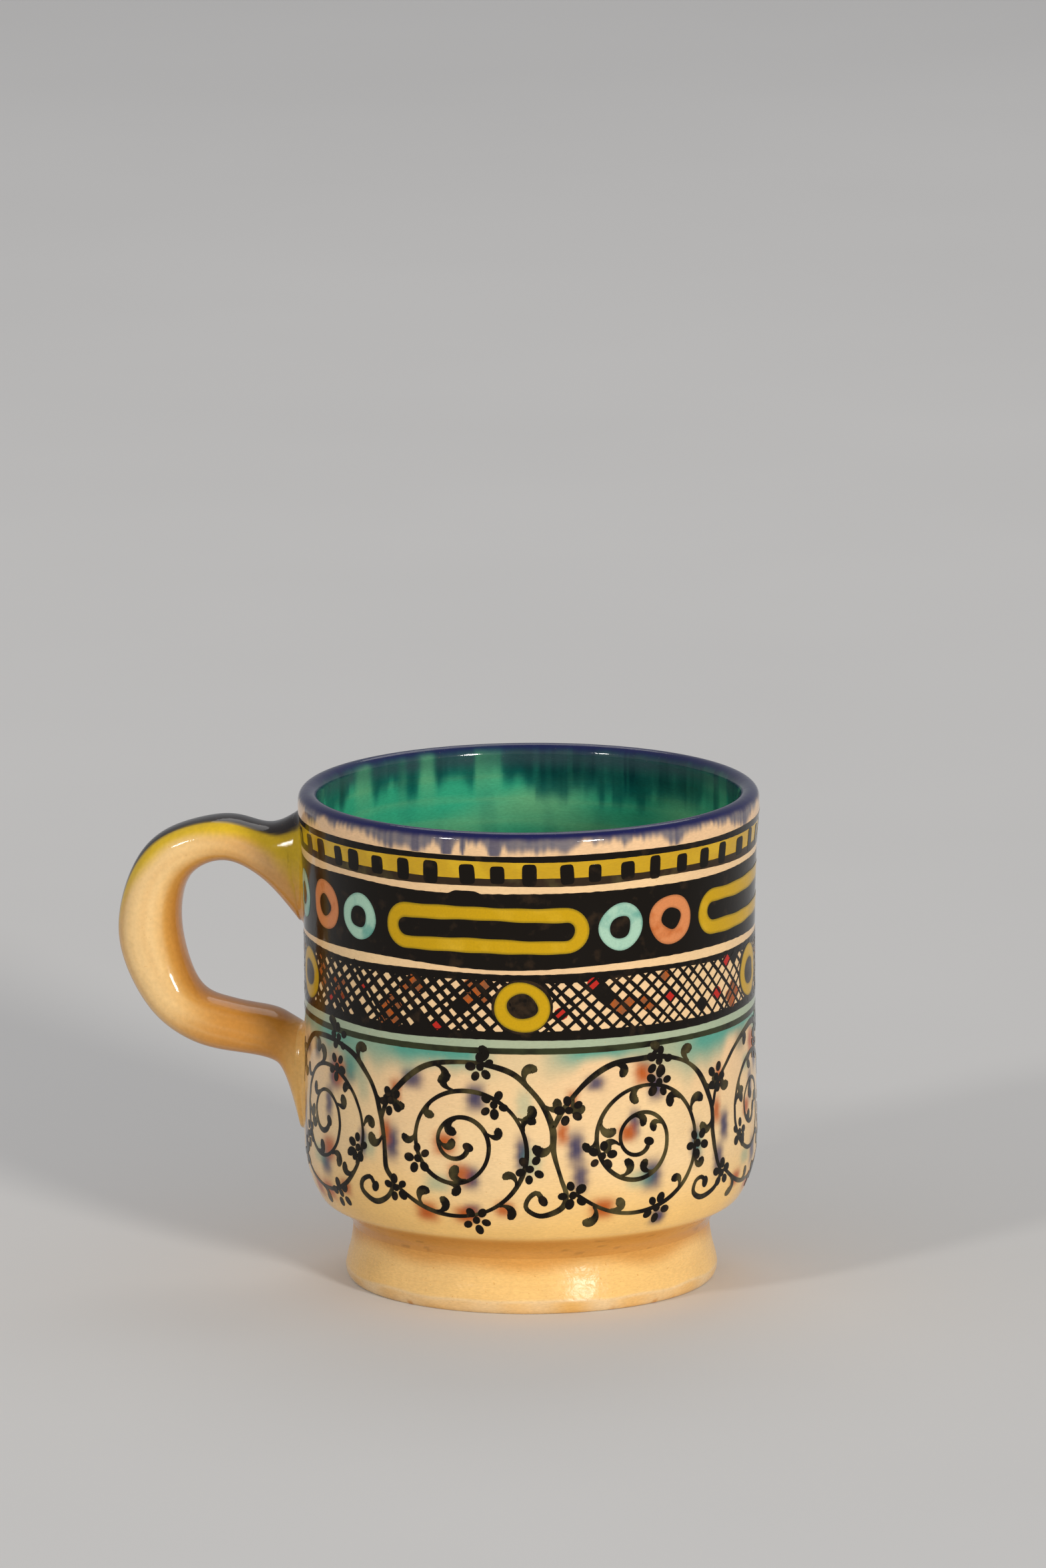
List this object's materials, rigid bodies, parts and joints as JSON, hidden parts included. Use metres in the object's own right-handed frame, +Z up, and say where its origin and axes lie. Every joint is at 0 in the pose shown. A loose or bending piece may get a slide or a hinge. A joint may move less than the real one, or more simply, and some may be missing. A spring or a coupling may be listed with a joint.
{
  "type": "clay mug",
  "caption": "Footed clay mug with a pulled loop handle, painted bands and scrolls on the wall, a green glazed lining and a cobalt lip, for hot drinks.",
  "frame": {"origin": "centre of the foot ring's resting face, on the cup's axis", "axes": "+Z up along the cup's axis, -X towards the handle, +Y across the handle"},
  "size_m": [0.1177, 0.0836, 0.09],
  "materials": {
    "painted_clay": "cream clay with painted bands under a clear gloss glaze",
    "foot_clay": "ochre clay under a thin clear glaze, bare at the resting edge",
    "handle_clay": "cream to caramel gloss glaze with a yellow wash and a dark line along the back",
    "joint_slip": "caramel slip under gloss glaze",
    "green_lining": "emerald gloss glaze with darker runs from the rim",
    "cobalt_rim": "cobalt gloss glaze"
  },
  "bodies": {
    "root": {"cup_body": "painted_clay", "foot_ring": "foot_clay", "handle": "handle_clay", "upper_slip": "joint_slip", "lower_slip": "joint_slip", "lining_glaze": "green_lining", "rim_glaze": "cobalt_rim"}
  },
  "joints": []
}
